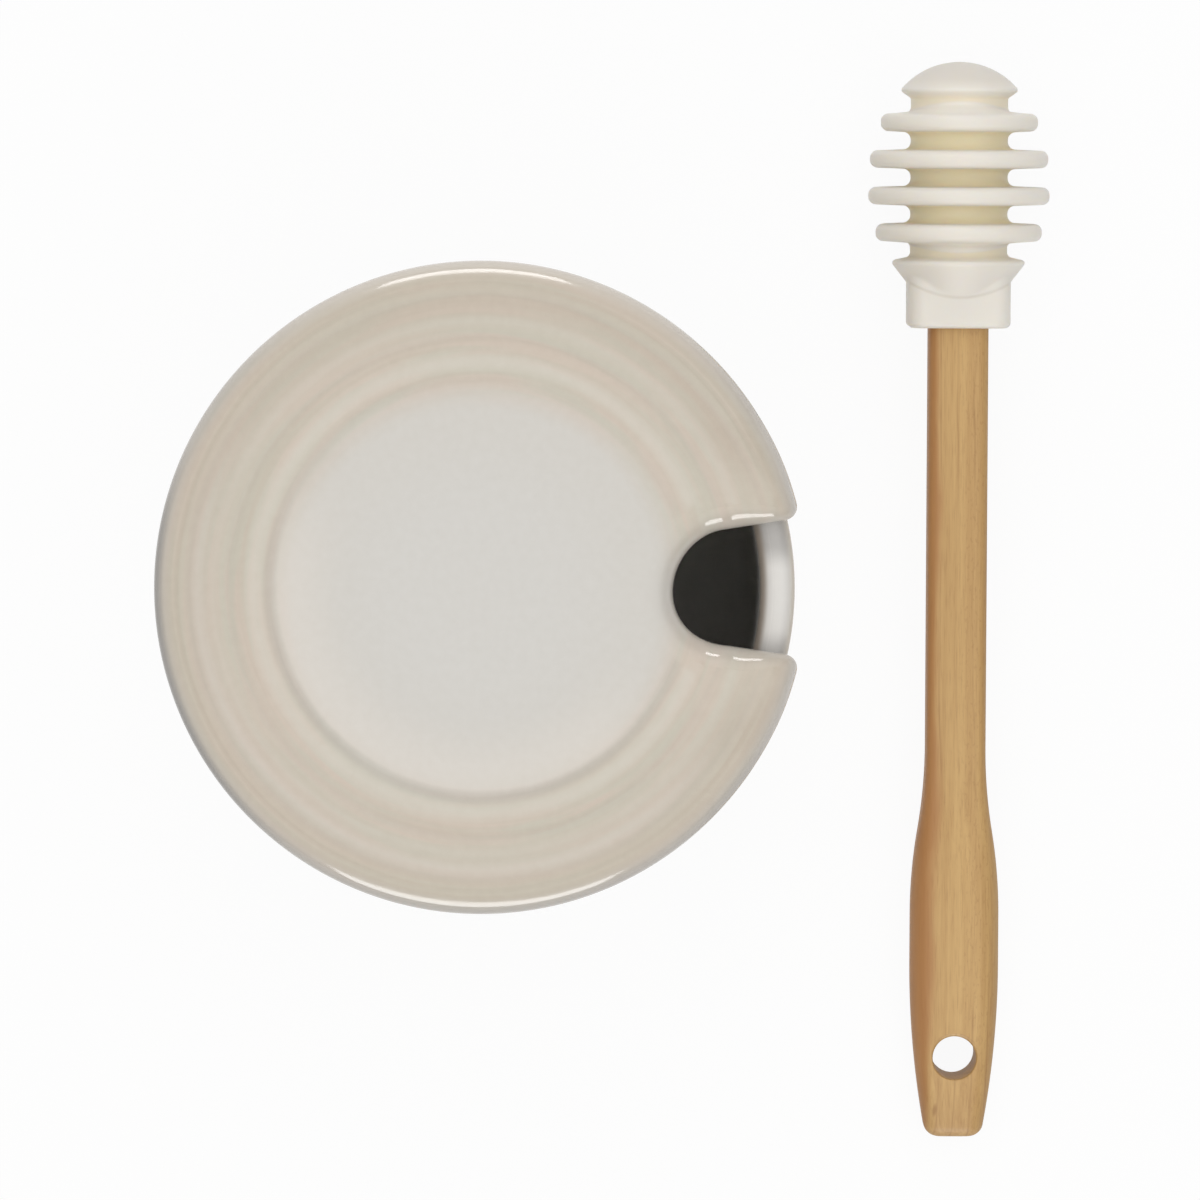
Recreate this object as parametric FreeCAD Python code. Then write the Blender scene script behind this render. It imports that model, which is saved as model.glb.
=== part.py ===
import FreeCAD, Part
import math
import os

# A stoneware honey pot with a loose ringed lid, and the honey dipper that lies beside it.
# Millimetres, +Z up. The origin is the centre of the pot's foot, on the table.
# +X points out through the lid's notch, towards the dipper.

# Pot
pot_height = 86.0             # table to the flat land of the rim
pot_rim_radius = 47.0         # outside of the rim, and of the wall where it meets the heel
pot_swell = 1.0               # how far the barrel-shaped wall swells beyond the rim
pot_wall = 5.0                # rim, outside to inside
pot_floor = 4.3               # floor inside the foot ring
pot_floor_fillet = 13.0       # inside corner between floor and wall
pot_heel_rounding = 11.0      # outside corner between underside and wall
pot_rim_rounding = 2.1        # both edges of the rim
pot_ring_start = 9.0          # rim down to the first groove of the wall

# Foot ring under the pot
foot_inset = 12.0             # rim radius in to the outside of the ring
foot_width = 4.5
foot_height = 1.5             # table to the underside outside the ring
foot_recess = 2.2             # table to the underside inside the ring
foot_rounding = 0.6

# Soft rings, shared by the lid and the pot
ring_count = 3
ring_pitch = 6.2              # from groove to groove
ring_depth = 0.25             # grooves sink this far, and the bands between them bulge as much
ring_groove_radius = 3.4      # rounding in the bottom of a groove

# Lid, with heights measured up from its seat on the rim
lid_overhang = 2.0            # beyond the rim
lid_edge_height = 5.5         # seat to the top of the edge, before it is rounded
lid_crown = 5.5               # rise from there to the level centre
lid_edge_band = 5.3           # edge to the outermost groove
lid_roll = 4.3                # innermost groove to the level centre
lid_plate = 6.0               # thickness in the middle
lid_edge_rounding = 3.6
lid_seat_rounding = 1.5       # lower outside edge
lid_hollow_rounding = 3.5     # inside corner of the hollow underneath

# Locating flange under the lid
flange_clearance = 0.8        # flange to the inside of the pot
flange_width = 4.5
flange_depth = 7.0
flange_rounding = 1.5
flange_setback = 2.0          # the flange stops this far from the notch

# Dipper notch in the lid
notch_room = 3.92             # beside the dipper's neck, each side
notch_depth = 20.25           # lid's edge to the bottom of the notch
notch_flare = 8.5             # degrees that each side opens towards the edge
notch_lip_rounding = 3.0

# Dipper, lying by the pot
dipper_length = 173.5
dipper_gap = 11.96            # lid's edge to the widest disc
dipper_middle_y = -2.15       # Y of its middle
dipper_turn = 0.2             # degrees that its head leans away from the pot

# Wooden handle: half sizes of its rounded rectangular sections
neck_half_width = 4.78
neck_half_thickness = 4.3
neck_corner = 1.8
grip_half_width = 7.1
grip_half_thickness = 5.5
grip_corner = 4.0
end_half_width = 4.4
end_half_thickness = 4.1
end_corner = 2.6
end_rounding = 1.8
taper_length = 28.0           # grip end up to the full grip
grip_length = 8.2             # full grip
flare_length = 27.1           # full grip up to the slim neck
taper_steps = 6
flare_steps = 8
hole_radius = 3.5
hole_height = 13.3            # grip end up to the hanging hole
hole_easing = 0.5

# Silicone head: the tip's dome, the discs and the collar share one core
core_radius = 7.8
dome_height = 4.6
dome_overhang = 1.75          # beyond the core
dome_undercut = 1.25          # fall of the dome's underside from core to rim
dome_rim_rounding = 0.4
disc_reaches = (4.8, 6.5, 6.74, 5.54)
disc_thickness = 2.97
disc_rim_rounding = 1.2
disc_slot = 2.91              # between two discs
end_slot = 2.36               # from the dome to the first disc and from the last disc to the collar
root_fillet = 1.0
collar_overhang = 3.25        # beyond the core
collar_lip = 0.7              # fall of the collar's upper face from core to lip
collar_lip_rounding = 0.6
collar_angle = 38.0           # degrees between the collar's cone and the axis
collar_sink = 0.5             # the cone ends this far below the ferrule's flat faces
ferrule_side_wall = 3.35      # socket to the narrow sides
ferrule_face_wall = 2.47      # socket to the flat faces
ferrule_length = 10.7         # collar's lip to the mouth
ferrule_corner = 3.0
ferrule_rounding = 0.9        # edge of the mouth
ferrule_blend = 2.0           # fillet between the cone and the ferrule

# Push fit of the head on the neck
socket_depth = 30.0
socket_clearance = 0.1        # all round the neck
socket_end_gap = 0.5          # beyond the neck's end

# Worked out for the pot and the lid
pot_bore_radius = pot_rim_radius - pot_wall
pot_floor_height = foot_recess + pot_floor
foot_radius = pot_rim_radius - foot_inset
lid_radius = pot_rim_radius + lid_overhang
lid_height = lid_edge_height + lid_crown
lid_first_groove = lid_radius - lid_edge_band - ring_pitch * (ring_count - 1)
lid_flat_radius = lid_first_groove - lid_roll
lid_hollow_height = lid_height - lid_plate
flange_radius = pot_bore_radius - flange_clearance
flange_inner_radius = flange_radius - flange_width
notch_end_radius = neck_half_width + notch_room
notch_end_centre = lid_radius - notch_depth + notch_end_radius

# Worked out for the dipper standing on its grip end, with heights measured up from there
disc_radii = [core_radius + reach for reach in disc_reaches]
dome_root = dipper_length - dome_height - dome_undercut
first_disc = dome_root - end_slot - disc_thickness / 2
disc_heights = [first_disc - (disc_thickness + disc_slot) * i for i in range(len(disc_radii))]
collar_top = disc_heights[-1] - disc_thickness / 2 - end_slot
collar_lip_height = collar_top - collar_lip
collar_radius = core_radius + collar_overhang
mouth_height = collar_lip_height - ferrule_length
ferrule_half_width = neck_half_width + socket_clearance + ferrule_side_wall
ferrule_half_thickness = neck_half_thickness + socket_clearance + ferrule_face_wall
neck_top = mouth_height + socket_depth - socket_end_gap
grip_top = taper_length + grip_length
shoulder = grip_top + flare_length


def limited(rounding, wall):
    # two roundings share a wall and leave a little of it flat
    return min(rounding, 0.45 * wall)


def spot(radius, height):
    return FreeCAD.Vector(radius, 0, height)


def straight(*points):
    return [Part.LineSegment(a, b).toShape() for a, b in zip(points, points[1:])]


def bulge(start, end, swell):
    # arc that swells to the right of its chord, the outside of an outline drawn anticlockwise
    chord = end - start
    outward = FreeCAD.Vector(chord.z, 0, -chord.x).normalize()
    middle = (start + end) * 0.5 + outward * swell
    return Part.Arc(start, middle, end).toShape()


def level_arc(top, low):
    # arc that leaves the top point level and falls away to the low point
    run = low.x - top.x
    fall = top.z - low.z
    radius = (run**2 + fall**2) / (2 * fall)
    half_turn = math.asin(run / radius) / 2
    middle = top + spot(radius * math.sin(half_turn), radius * (math.cos(half_turn) - 1))
    return Part.Arc(low, middle, top).toShape()


def turned(edges):
    face = Part.Face(Part.Wire(edges))
    return face.revolve(spot(0, 0), spot(0, 1), 360)


def round_rings(solid, rounding, rings):
    # rounds the circular edges that lie at the given radius and height
    def wanted(edge):
        if edge.Degenerated or not isinstance(edge.Curve, Part.Circle):
            return False
        circle = edge.Curve
        return any(
            abs(circle.Radius - ring.x) < 1e-4 and abs(circle.Center.z - ring.z) < 1e-4
            for ring in rings
        )

    return solid.makeFillet(rounding, [edge for edge in solid.Edges if wanted(edge)])


def edges_over(solid, outline, lowest):
    # edges that stand over a flat outline and above a height, apart from upright ones
    found = []
    for edge in solid.Edges:
        if edge.Degenerated:
            continue
        first, middle, last = edge.discretize(3)
        upright = math.hypot(first.x - last.x, first.y - last.y) < 1e-6
        below = Part.Vertex(middle.x, middle.y, 0)
        if middle.z > lowest and not upright and outline.distToShape(below)[0] < 1e-5:
            found.append(edge)
    return found


def rounded_rectangle(half_width, half_thickness, corner, height):
    arcs = []
    for quarter, (side, face) in enumerate([(1, 1), (-1, 1), (-1, -1), (1, -1)]):
        centre = FreeCAD.Vector(side * (half_width - corner), face * (half_thickness - corner), height)
        turns = [math.radians(90 * quarter + turn) for turn in (0, 45, 90)]
        arcs.append([centre + FreeCAD.Vector(math.cos(a), math.sin(a), 0) * corner for a in turns])
    edges = []
    for this, following in zip(arcs, arcs[1:] + arcs[:1]):
        edges.append(Part.Arc(*this).toShape())
        edges += straight(this[2], following[0])
    return Part.Wire(edges)


def upright_prism(outline, height):
    return Part.Face(outline).extrude(spot(0, height))


def pot_wall_radius(height):
    # the wall is an arc that starts and ends at the rim radius and swells halfway up
    half_rise = (pot_height - foot_height) / 2
    radius = (half_rise**2 + pot_swell**2) / (2 * pot_swell)
    from_middle = height - foot_height - half_rise
    return pot_rim_radius + pot_swell - radius + math.sqrt(radius**2 - from_middle**2)


def make_pot():
    heights = [pot_height - pot_ring_start - ring_pitch * i for i in range(ring_count)]
    grooves = [spot(pot_wall_radius(height) - ring_depth, height) for height in reversed(heights)]
    heel = spot(pot_rim_radius, foot_height)
    rim_outside = spot(pot_rim_radius, pot_height)
    rim_inside = spot(pot_bore_radius, pot_height)
    floor_corner = spot(pot_bore_radius, pot_floor_height)
    foot_outside = spot(foot_radius, 0)
    foot_inside = spot(foot_radius - foot_width, 0)
    edges = straight(
        spot(0, foot_recess),
        spot(foot_inside.x, foot_recess),
        foot_inside,
        foot_outside,
        spot(foot_radius, foot_height),
        heel,
    )
    half_way = (heel.z + grooves[0].z) / 2
    edges.append(Part.Arc(heel, spot(pot_wall_radius(half_way), half_way), grooves[0]).toShape())
    for low, high in zip(grooves, grooves[1:] + [rim_outside]):
        edges.append(bulge(low, high, ring_depth))
    edges += straight(
        rim_outside,
        rim_inside,
        floor_corner,
        spot(0, pot_floor_height),
        spot(0, foot_recess),
    )
    pot = turned(edges)
    pot = round_rings(pot, ring_groove_radius, grooves)
    pot = round_rings(pot, min(pot_heel_rounding, 0.95 * foot_inset), [heel])
    pot = round_rings(pot, min(pot_floor_fillet, pot_bore_radius / 2), [floor_corner])
    pot = round_rings(pot, limited(pot_rim_rounding, pot_wall), [rim_outside, rim_inside])
    foot_room = min(foot_width, foot_height)
    return round_rings(pot, limited(foot_rounding, foot_room), [foot_outside, foot_inside])


def lid_dome_height(radius):
    # arc that leaves the level centre and falls by the crown out to the edge
    run = lid_radius - lid_flat_radius
    arc_radius = (run**2 + lid_crown**2) / (2 * lid_crown)
    return lid_height - arc_radius + math.sqrt(arc_radius**2 - (radius - lid_flat_radius) ** 2)


def lid_disc():
    radii = [lid_first_groove + ring_pitch * i for i in range(ring_count)]
    grooves = [spot(radius, lid_dome_height(radius) - ring_depth) for radius in reversed(radii)]
    edge = spot(lid_radius, lid_edge_height)
    flat_end = spot(lid_flat_radius, lid_height)
    edges = straight(spot(0, 0), spot(lid_radius, 0), edge)
    for outer, inner in zip([edge] + grooves, grooves):
        edges.append(bulge(outer, inner, ring_depth))
    edges.append(level_arc(flat_end, grooves[-1]))
    edges += straight(flat_end, spot(0, lid_height), spot(0, 0))
    disc = turned(edges)
    disc = round_rings(disc, ring_groove_radius, grooves)
    return round_rings(disc, lid_edge_rounding, [edge])


def notch_outline(margin):
    # round end and two flared sides, moved outwards by the margin
    flare = math.radians(notch_flare)
    radius = notch_end_radius + margin
    centre = spot(notch_end_centre, 0)
    along = FreeCAD.Vector(math.cos(flare), math.sin(flare), 0) * lid_radius
    tangent = centre + FreeCAD.Vector(-math.sin(flare), math.cos(flare), 0) * radius
    mouth = tangent + along
    other_tangent = FreeCAD.Vector(tangent.x, -tangent.y, 0)
    other_mouth = FreeCAD.Vector(mouth.x, -mouth.y, 0)
    edges = straight(mouth, tangent)
    edges.append(Part.Arc(tangent, centre - spot(radius, 0), other_tangent).toShape())
    edges += straight(other_tangent, other_mouth, mouth)
    return Part.Wire(edges)


def notch_cutter(margin):
    # reaches as far beyond the flange and the top as the lid is tall
    overall = flange_depth + lid_height
    cutter = upright_prism(notch_outline(margin), 3 * overall)
    cutter.translate(spot(0, -flange_depth - overall))
    return cutter


def lid_hollow():
    hollow = Part.makeCylinder(flange_inner_radius, lid_hollow_height)
    rounding = min(lid_hollow_rounding, 0.9 * lid_hollow_height)
    return round_rings(hollow, rounding, [spot(flange_inner_radius, lid_hollow_height)])


def flange():
    outside = spot(flange_radius, -flange_depth)
    inside = spot(flange_inner_radius, -flange_depth)
    edges = straight(inside, outside, spot(flange_radius, 0), spot(flange_inner_radius, 0), inside)
    ring = round_rings(turned(edges), limited(flange_rounding, flange_width), [outside, inside])
    return ring.cut(notch_cutter(flange_setback))


def make_lid():
    lid = lid_disc().cut(notch_cutter(0))
    lid = lid.makeFillet(notch_lip_rounding, edges_over(lid, notch_outline(0), 1e-6))
    lid = round_rings(lid, lid_seat_rounding, [spot(lid_radius, 0)])
    lid = lid.cut(lid_hollow()).fuse(flange()).removeSplitter()
    lid.translate(spot(0, pot_height))
    return lid


def dome():
    tip = spot(0, dipper_length)
    rim = spot(core_radius + dome_overhang, dipper_length - dome_height)
    edges = [level_arc(tip, rim)]
    edges += straight(tip, spot(0, dome_root), spot(core_radius, dome_root), rim)
    return round_rings(turned(edges), dome_rim_rounding, [rim])


def disc(radius, height):
    low = height - disc_thickness / 2
    plain = Part.makeCylinder(radius, disc_thickness, spot(0, low))
    rims = [spot(radius, low), spot(radius, low + disc_thickness)]
    return round_rings(plain, limited(disc_rim_rounding, disc_thickness), rims)


def collar():
    lip = spot(collar_radius, collar_lip_height)
    small_radius = ferrule_half_thickness - collar_sink
    cone_height = (collar_radius - small_radius) / math.tan(math.radians(collar_angle))
    small = spot(small_radius, lip.z - cone_height)
    core = spot(core_radius, collar_top)
    edges = straight(spot(0, small.z), small, lip, core, spot(0, collar_top), spot(0, small.z))
    return round_rings(turned(edges), collar_lip_rounding, [lip])


def ferrule_outline(height):
    return rounded_rectangle(ferrule_half_width, ferrule_half_thickness, ferrule_corner, height)


def collar_and_ferrule():
    block = upright_prism(ferrule_outline(mouth_height), ferrule_length)
    mouth_edges = [edge for edge in block.Edges if edge.BoundBox.ZMax < mouth_height + 1e-6]
    block = block.makeFillet(limited(ferrule_rounding, ferrule_face_wall), mouth_edges)
    joined = block.fuse(collar()).removeSplitter()
    crossing = edges_over(joined, ferrule_outline(0), mouth_height + 2 * ferrule_rounding)
    return joined.makeFillet(ferrule_blend, crossing)


def socket():
    outline = rounded_rectangle(
        neck_half_width + socket_clearance,
        neck_half_thickness + socket_clearance,
        neck_corner + socket_clearance,
        mouth_height,
    )
    return upright_prism(outline, socket_depth)


def make_head():
    head = Part.makeCylinder(core_radius, dome_root - collar_top, spot(0, collar_top))
    pieces = [dome(), collar_and_ferrule()]
    roots = [spot(core_radius, collar_top)]
    for radius, height in zip(disc_radii, disc_heights):
        pieces.append(disc(radius, height))
        roots.append(spot(core_radius, height - disc_thickness / 2))
        roots.append(spot(core_radius, height + disc_thickness / 2))
    head = head.fuse(pieces).removeSplitter()
    head = round_rings(head, limited(root_fillet, min(disc_slot, end_slot)), roots)
    return head.cut(socket())


def handle_section(height, flare, taper):
    # flare goes from 0 at the neck to 1 at the grip, taper from 0 at the grip to 1 at the end
    def size(neck, full, end):
        return neck + (full - neck) * flare - (full - end) * taper

    return rounded_rectangle(
        size(neck_half_width, grip_half_width, end_half_width),
        size(neck_half_thickness, grip_half_thickness, end_half_thickness),
        size(neck_corner, grip_corner, end_corner),
        height,
    )


def grip():
    sections = []
    for step in range(taper_steps + 1):
        share = step / taper_steps
        sections.append(handle_section(taper_length * share, 1, (1 - share) ** 2))
    for step in range(flare_steps + 1):
        share = step / flare_steps
        # two equal arcs, swelling towards the grip and hollow towards the neck
        flare = 1 - 2 * share**2 if share < 0.5 else 2 * (1 - share) ** 2
        sections.append(handle_section(grip_top + flare_length * share, flare, 0))
    loft = Part.makeLoft(sections, True)
    end_edges = [edge for edge in loft.Edges if edge.BoundBox.ZMax < 1e-6]
    return loft.makeFillet(end_rounding, end_edges)


def hole_mouths(handle):
    def wanted(edge):
        points = edge.discretize(5)
        away = [math.hypot(point.x, point.z - hole_height) - hole_radius for point in points]
        return max(map(abs, away)) < 1e-4

    curved = [edge for edge in handle.Edges if not isinstance(edge.Curve, Part.Line)]
    return [edge for edge in curved if wanted(edge)]


def make_handle():
    neck_outline = rounded_rectangle(neck_half_width, neck_half_thickness, neck_corner, shoulder)
    handle = grip().fuse(upright_prism(neck_outline, neck_top - shoulder)).removeSplitter()
    start = FreeCAD.Vector(0, -grip_half_width, hole_height)
    across = FreeCAD.Vector(0, 1, 0)
    handle = handle.cut(Part.makeCylinder(hole_radius, 2 * grip_half_width, start, across))
    return handle.makeFillet(hole_easing, hole_mouths(handle))


def lowest_of_head(pitch):
    # lowest point of the disc rims, with the middle of the grip end at height 0
    rim_rounding = limited(disc_rim_rounding, disc_thickness)
    half_rim = disc_thickness / 2 - rim_rounding
    return min(
        (height - half_rim) * math.sin(pitch)
        - (radius - rim_rounding) * math.cos(pitch)
        - rim_rounding
        for radius, height in zip(disc_radii, disc_heights)
    )


def lowest_of_grip(pitch):
    # the tapered underside touches where its slope equals the pitch
    drop = grip_half_thickness - end_half_thickness
    from_full = min(math.tan(pitch) * taper_length**2 / (2 * drop), taper_length)
    half_thickness = grip_half_thickness - drop * (from_full / taper_length) ** 2
    return (taper_length - from_full) * math.sin(pitch) - half_thickness * math.cos(pitch)


def lying_pitch():
    # the dipper rests on a disc and on its grip, so both lowest points are level
    low = 0.0
    high = math.radians(20)
    for _ in range(50):
        pitch = (low + high) / 2
        if lowest_of_head(pitch) < lowest_of_grip(pitch):
            low = pitch
        else:
            high = pitch
    return pitch


def lying_place(pitch):
    # where the middle of the grip end lies
    turn = math.radians(dipper_turn)
    widest, height = max(zip(disc_radii, disc_heights))
    beside = lid_radius + dipper_gap + widest
    end_x = beside - height * math.cos(pitch) * math.sin(turn)
    end_y = dipper_middle_y - dipper_length * math.cos(pitch) * math.cos(turn) / 2
    return FreeCAD.Vector(end_x, end_y, -lowest_of_grip(pitch))


def lay_down(shape):
    pitch = lying_pitch()
    shape.rotate(spot(0, 0), FreeCAD.Vector(1, 0, 0), math.degrees(pitch) - 90)
    shape.rotate(spot(0, 0), spot(0, 1), -dipper_turn)
    shape.translate(lying_place(pitch))
    return shape


def main():
    os.makedirs("parts", exist_ok=True)
    parts = {
        "pot_body": make_pot(),
        "lid": make_lid(),
        "dipper_head": lay_down(make_head()),
        "dipper_handle": lay_down(make_handle()),
    }
    for name, shape in parts.items():
        shape.exportStep("parts/" + name + ".step")
        print(name, "valid", shape.isValid(), "solids", len(shape.Solids), "volume", round(shape.Volume))
    print("the dipper lies at a pitch of", round(math.degrees(lying_pitch()), 4), "degrees")


main()
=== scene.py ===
import bmesh
import bpy
import math
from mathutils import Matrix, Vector


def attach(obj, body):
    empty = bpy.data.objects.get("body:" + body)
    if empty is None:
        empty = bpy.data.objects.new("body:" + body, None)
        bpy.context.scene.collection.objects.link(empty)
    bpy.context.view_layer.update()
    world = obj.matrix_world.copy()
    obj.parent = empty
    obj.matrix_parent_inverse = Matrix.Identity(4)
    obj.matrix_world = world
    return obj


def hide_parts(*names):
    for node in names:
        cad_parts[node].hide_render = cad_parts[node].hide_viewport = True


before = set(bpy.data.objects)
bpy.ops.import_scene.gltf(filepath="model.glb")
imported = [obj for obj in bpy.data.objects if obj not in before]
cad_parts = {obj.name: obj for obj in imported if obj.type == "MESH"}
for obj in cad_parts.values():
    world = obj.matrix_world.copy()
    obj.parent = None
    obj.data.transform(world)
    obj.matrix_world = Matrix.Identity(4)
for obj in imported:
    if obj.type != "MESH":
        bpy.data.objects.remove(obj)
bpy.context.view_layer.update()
scene = bpy.context.scene
scene.view_settings.view_transform = "Standard"
mm = 0.001                      # sizes below are in mm, the scene is in metres
print("frame loaded:", sorted(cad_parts))


# small helpers for shapes

def smoothStep(low, high, value):
    share = min(max((value - low) / (high - low), 0), 1)
    return share * share * (3 - 2 * share)


def between(value, knots):
    # straight lines through the knots
    for (x0, y0), (x1, y1) in zip(knots, knots[1:]):
        if value <= x1:
            return y0 + (y1 - y0) * (value - x0) / (x1 - x0)
    return knots[-1][1]


def softMax(a, b, ease):
    return (a + b + math.sqrt((a - b) ** 2 + ease ** 2)) / 2


def band(x, start, end, bulge):
    # one band of the ringed profile: a bulging curve between two grooves
    share = (x - start[0]) / (end[0] - start[0])
    return start[1] + (end[1] - start[1]) * share + 4 * bulge * share * (1 - share)


def blockRadius(angle, halfWidth, halfDepth, corner):
    # how far a rounded rectangle reaches from its middle, in one direction
    c, s = abs(math.cos(angle)), abs(math.sin(angle))
    a, b = halfWidth - corner, halfDepth - corner
    if c * b >= s * halfWidth:
        return halfWidth / c
    if s * a >= c * halfDepth:
        return halfDepth / s
    p = a * c + b * s
    return p + math.sqrt(max(p * p - a * a - b * b + corner * corner, 0))


# small helpers for modelling

def clearSelection():
    if bpy.context.mode != "OBJECT":
        bpy.ops.object.mode_set(mode="OBJECT")
    bpy.ops.object.select_all(action="DESELECT")


def pickPieces(*pieces):
    # the last one named is the active one
    clearSelection()
    for piece in pieces:
        piece.select_set(True)
    bpy.context.view_layer.objects.active = pieces[-1]


def closeMesh():
    bpy.ops.mesh.select_all(action="SELECT")
    bpy.ops.mesh.remove_doubles(threshold=1e-6)
    bpy.ops.mesh.normals_make_consistent(inside=False)
    bpy.ops.object.mode_set(mode="OBJECT")


def drawProfile(name, points, segments=8):
    # one vertex, extruded from point to point: (radius, height) or (radius, height, rounding)
    clearSelection()
    bpy.ops.mesh.primitive_plane_add(size=0.01)
    piece = bpy.context.object
    piece.name = name
    bpy.ops.object.mode_set(mode="EDIT")
    bpy.ops.mesh.select_mode(type="VERT")
    bpy.ops.mesh.merge(type="CENTER")
    places = [Vector((point[0], 0, point[1])) * mm for point in points]
    bpy.ops.transform.translate(value=places[0])
    for here, there in zip(places, places[1:]):
        bpy.ops.mesh.extrude_vertices_move(TRANSFORM_OT_translate={"value": there - here})
    bpy.ops.mesh.select_all(action="SELECT")
    bpy.ops.mesh.remove_doubles(threshold=1e-7)
    for i, point in enumerate(points):
        if len(point) < 3:
            continue
        turn = (places[i] - places[i - 1]).angle(places[i + 1] - places[i])
        bpy.ops.mesh.select_all(action="DESELECT")
        mesh = bmesh.from_edit_mesh(piece.data)
        nearest = min(mesh.verts, key=lambda vertex: (vertex.co - places[i]).length)
        nearest.select_set(True)
        mesh.select_flush_mode()
        offset = point[2] * mm * math.tan(turn / 2)
        bpy.ops.mesh.bevel(offset=offset, segments=segments, affect="VERTICES", clamp_overlap=False)
    return piece


def spinProfile(steps, angle=2 * math.pi):
    bpy.ops.mesh.select_all(action="SELECT")
    bpy.ops.mesh.spin(steps=steps, angle=angle, center=(0, 0, 0), axis=(0, 0, 1))
    bpy.ops.mesh.select_all(action="SELECT")
    bpy.ops.mesh.remove_doubles(threshold=1e-6)


def selectOpenRing():
    bpy.ops.mesh.select_mode(type="EDGE")
    bpy.ops.mesh.select_all(action="DESELECT")
    bpy.ops.mesh.select_non_manifold(
        extend=False, use_wire=False, use_boundary=True, use_multi_face=False,
        use_non_contiguous=False, use_verts=False,
    )


def extrudeRing(radiusAt, height):
    # the selected ring is extruded once, and each vertex keeps its direction from the axis
    bpy.ops.mesh.extrude_region_move()
    data = bpy.context.object.data
    mesh = bmesh.from_edit_mesh(data)
    for vertex in mesh.verts:
        if vertex.select:
            angle = math.atan2(vertex.co.y, vertex.co.x)
            reach = radiusAt(angle)
            vertex.co = Vector((reach * math.cos(angle), reach * math.sin(angle), height)) * mm
    bmesh.update_edit_mesh(data)


def wrapGrid(name, columns, rows, place, marks=()):
    # a flat grid: its columns go round the piece and its rows run from pole to pole
    clearSelection()
    bpy.ops.mesh.primitive_grid_add(x_subdivisions=columns, y_subdivisions=rows, size=2)
    piece = bpy.context.object
    piece.name = name
    for mark in marks:
        piece.data.attributes.new(mark, "FLOAT", "POINT")
    for vertex in piece.data.vertices:
        column = round((vertex.co.x + 1) / 2 * columns)
        row = round((vertex.co.y + 1) / 2 * rows)
        point, *levels = place(column, row)
        vertex.co = point * mm
        for mark, level in zip(marks, levels):
            piece.data.attributes[mark].data[vertex.index].value = level
    bpy.ops.object.mode_set(mode="EDIT")
    closeMesh()
    return piece


def layDown(piece):
    # the dipper is modelled standing on its grip end, and then laid beside the pot
    pickPieces(piece)
    piece.location = dipper["end"]
    piece.rotation_euler = dipper["turn"]
    bpy.ops.object.transform_apply(location=True, rotation=True, scale=False)


def smoothShade(piece, degrees):
    pickPieces(piece)
    bpy.ops.object.shade_smooth_by_angle(angle=math.radians(degrees))


# pot

pot = {
    "height": 86.0, "rimRadius": 47.0, "swell": 1.0, "bore": 42.0, "floor": 6.5,
    "footRadius": 35.0, "footWidth": 4.5, "footHeight": 1.5, "recess": 2.2, "footRounding": 0.6,
    "heel": 11.0, "heelOut": 0.3, "floorFillet": 13.0, "rimRounding": 2.35,
    "grooves": (64.6, 70.8, 77.0), "grooveDepth": 0.25, "bulge": 0.25,
    "ringFade": 25.0, "ringFall": 0.2, "ringEase": 0.04,
    "wallStart": 15, "ringStart": 60, "boreMarks": (60, 40), "floorMark": 20, "steps": 256,
}


def potWall(height):
    # barrel-shaped wall with three soft rings under the rim
    halfRise = (pot["height"] - pot["footHeight"]) / 2
    radius = (halfRise ** 2 + pot["swell"] ** 2) / (2 * pot["swell"])

    def plain(at):
        fromMiddle = at - pot["footHeight"] - halfRise
        return pot["rimRadius"] + pot["swell"] - radius + math.sqrt(radius ** 2 - fromMiddle ** 2)

    grooves = [(at, plain(at) - pot["grooveDepth"]) for at in pot["grooves"]]
    grooves.append((pot["height"], pot["rimRadius"]))
    lowest = grooves[0][0]
    reach = plain(height) - pot["grooveDepth"] * smoothStep(lowest - pot["ringFade"], lowest, height)
    if height > lowest:
        reach -= (height - lowest) * pot["ringFall"]
    for start, end in zip(grooves, grooves[1:]):
        reach = softMax(reach, band(height, start, end, pot["bulge"]), pot["ringEase"])
    return reach


def makePot():
    foot, width = pot["footRadius"], pot["footWidth"]
    points = [
        (0, pot["recess"]),
        (foot - width, pot["recess"]),
        (foot - width, 0, pot["footRounding"]),
        (foot, 0, pot["footRounding"]),
        (foot, pot["footHeight"]),
        (pot["rimRadius"] + pot["heelOut"], pot["footHeight"], pot["heel"]),
    ]
    # wide steps up the plain wall, fine ones over the rings
    heights = list(range(pot["wallStart"], pot["ringStart"], 3))
    heights += [pot["ringStart"] + 0.6 * step for step in range(40)]
    points += [(potWall(height), height) for height in heights]
    points += [
        (pot["rimRadius"], pot["height"], pot["rimRounding"]),
        (pot["bore"], pot["height"], pot["rimRounding"]),
    ]
    points += [(pot["bore"], height) for height in pot["boreMarks"]]
    points += [
        (pot["bore"], pot["floor"], pot["floorFillet"]),
        (pot["floorMark"], pot["floor"]),
        (0, pot["floor"]),
    ]
    piece = drawProfile("potBody", points, segments=10)
    spinProfile(pot["steps"])
    closeMesh()
    smoothShade(piece, 50)
    return piece


# lid, with heights measured up from its seat on the rim

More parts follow.
